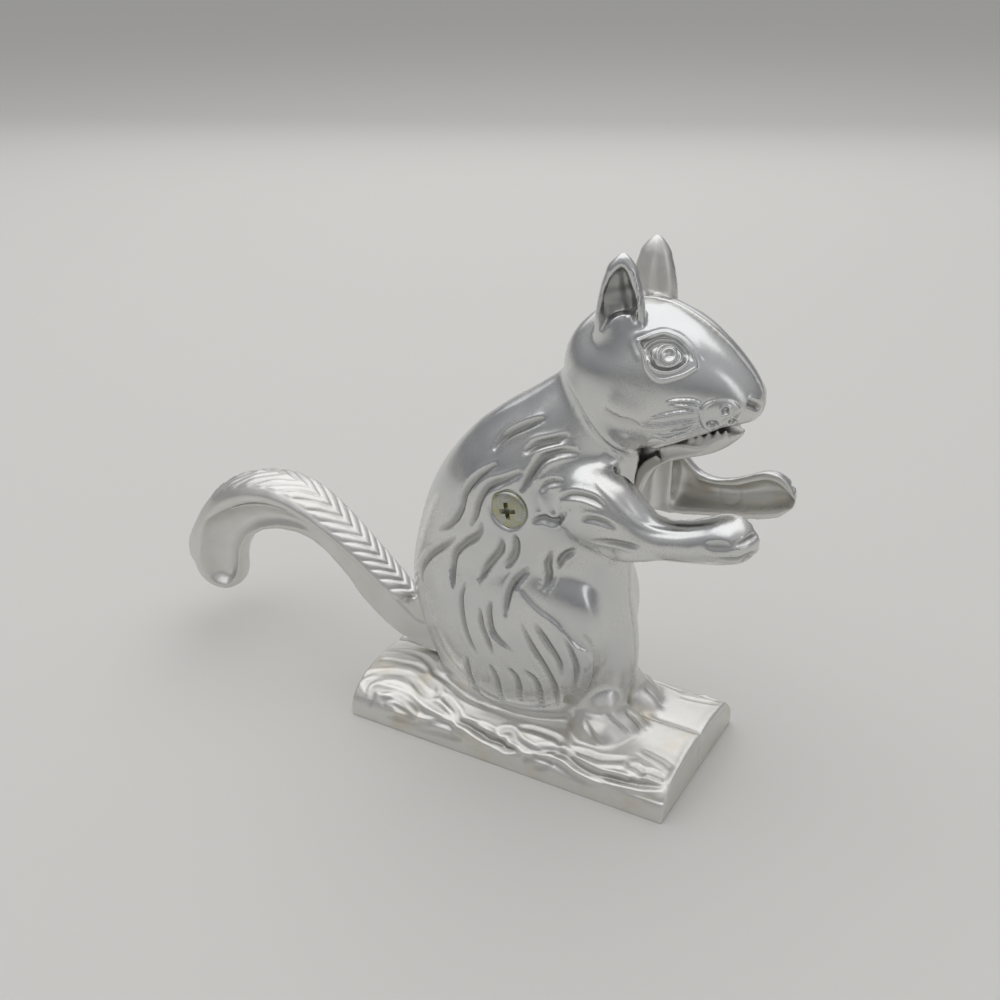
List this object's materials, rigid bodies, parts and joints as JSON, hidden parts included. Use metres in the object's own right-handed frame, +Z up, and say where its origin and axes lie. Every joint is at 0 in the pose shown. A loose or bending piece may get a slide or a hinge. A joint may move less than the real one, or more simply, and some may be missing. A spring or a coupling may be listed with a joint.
{
  "type": "lever nutcracker",
  "caption": "Cast-metal squirrel on a log base; lifting the curled tail lever drops the toothed lower jaw, pressing it cracks a nut in the mouth.",
  "frame": {"origin": "middle of the part's outer box, on the surface that the log base stands on", "axes": "+X towards the nose, +Y to the squirrel's left, +Z up"},
  "size_m": [0.2249, 0.06, 0.1668],
  "materials": {
    "polished_aluminium": "polished casting, satin on the log base",
    "tumbled_aluminium": "tumbled satin casting",
    "turned_steel": "turned",
    "zinc_plated_steel": "zinc-plated, slightly yellow"
  },
  "bodies": {
    "body": {"right_body_half": "polished_aluminium", "left_body_half": "polished_aluminium", "pivot_sleeve": "turned_steel", "pivot_screw": "zinc_plated_steel", "pivot_washer": "zinc_plated_steel", "pivot_nut": "zinc_plated_steel", "lever_washer_right": "turned_steel", "lever_washer_left": "turned_steel", "assembly_screw_head": "zinc_plated_steel", "assembly_screw_haunch": "zinc_plated_steel"},
    "lever": {"tail_lever": "tumbled_aluminium"}
  },
  "joints": [
    {"name": "tail_lever_pivot", "type": "hinge", "parent": "body", "child": "lever", "pos_m": [0.0378, 0, 0.089], "axis": [0, 1, 0], "range_deg": [0, 25]}
  ]
}
